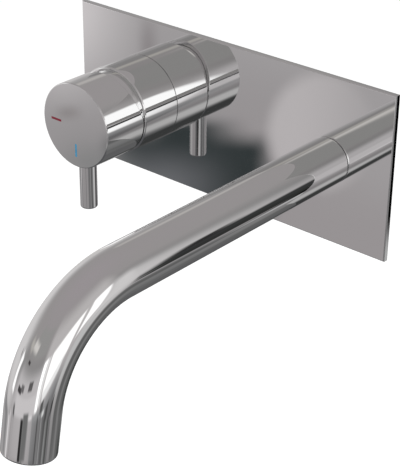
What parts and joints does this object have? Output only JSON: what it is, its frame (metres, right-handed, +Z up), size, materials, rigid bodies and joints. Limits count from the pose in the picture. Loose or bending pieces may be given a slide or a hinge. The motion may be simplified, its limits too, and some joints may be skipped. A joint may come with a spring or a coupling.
{
  "type": "wall-mounted basin mixer",
  "caption": "Wall-mounted basin mixer: flat cover plate, tilt-and-turn lever knob on a fixed sleeve, bent tube spout with aerator, and the valve body in the wall.",
  "frame": {"origin": "middle of the cover plate's back face, on the finished wall", "axes": "+X to the right as seen from the room, +Y into the wall, +Z up; the spout and the knob point towards -Y"},
  "size_m": [0.2, 0.249, 0.106],
  "materials": {
    "chromed_brass": "polished chrome plate on brass",
    "cast_brass": "cast and machined brass",
    "stainless_steel": "turned stainless steel",
    "white_acetal": "moulded acetal",
    "grey_acetal": "moulded acetal",
    "alumina": "lapped alumina ceramic",
    "black_rubber": "moulded rubber",
    "red_enamel": "filled enamel",
    "blue_enamel": "filled enamel"
  },
  "bodies": {
    "root": {"cover_plate": "chromed_brass", "plate_foam": "black_rubber", "control_sleeve": "chromed_brass", "sleeve_seal": "black_rubber", "dome_cap": "chromed_brass", "cartridge_nut": "cast_brass", "cartridge_housing": "white_acetal", "fixed_disc": "alumina", "cartridge_base": "white_acetal", "port_seals": "black_rubber", "valve_body": "cast_brass", "inlet_strainers": "stainless_steel", "spout_nipple": "cast_brass", "nipple_seals": "black_rubber", "spout_tube": "chromed_brass", "spout_screw": "stainless_steel", "aerator_holder": "chromed_brass", "aerator_insert": "grey_acetal", "aerator_grid": "stainless_steel", "aerator_washer": "black_rubber"},
    "guide": {"turning_guide": "grey_acetal", "pivot_pin": "stainless_steel"},
    "handle": {"handle_knob": "chromed_brass", "lever_pin": "chromed_brass", "handle_screw": "stainless_steel", "stem": "stainless_steel", "hot_mark": "red_enamel", "cold_mark": "blue_enamel"},
    "carrier": {"disc_carrier": "grey_acetal", "moving_disc": "alumina"}
  },
  "joints": [
    {"name": "temperature_turn", "type": "hinge", "parent": "root", "child": "guide", "pos_m": [-0.055, -0.028, 0], "axis": [0, 1, 0], "range_deg": [0, 90]},
    {"name": "lever_tilt", "type": "hinge", "parent": "guide", "child": "handle", "pos_m": [-0.055, -0.028, 0], "axis": [-1, 0, 0], "range_deg": [0, 15]},
    {"name": "disc_slide", "type": "slide", "parent": "guide", "child": "carrier", "axis": [0, 0, -1], "range_m": [0, 0.0036]}
  ],
  "couplings": [
    {"joint": "disc_slide", "follows": "lever_tilt", "m_per_rad": 0.01361}
  ]
}
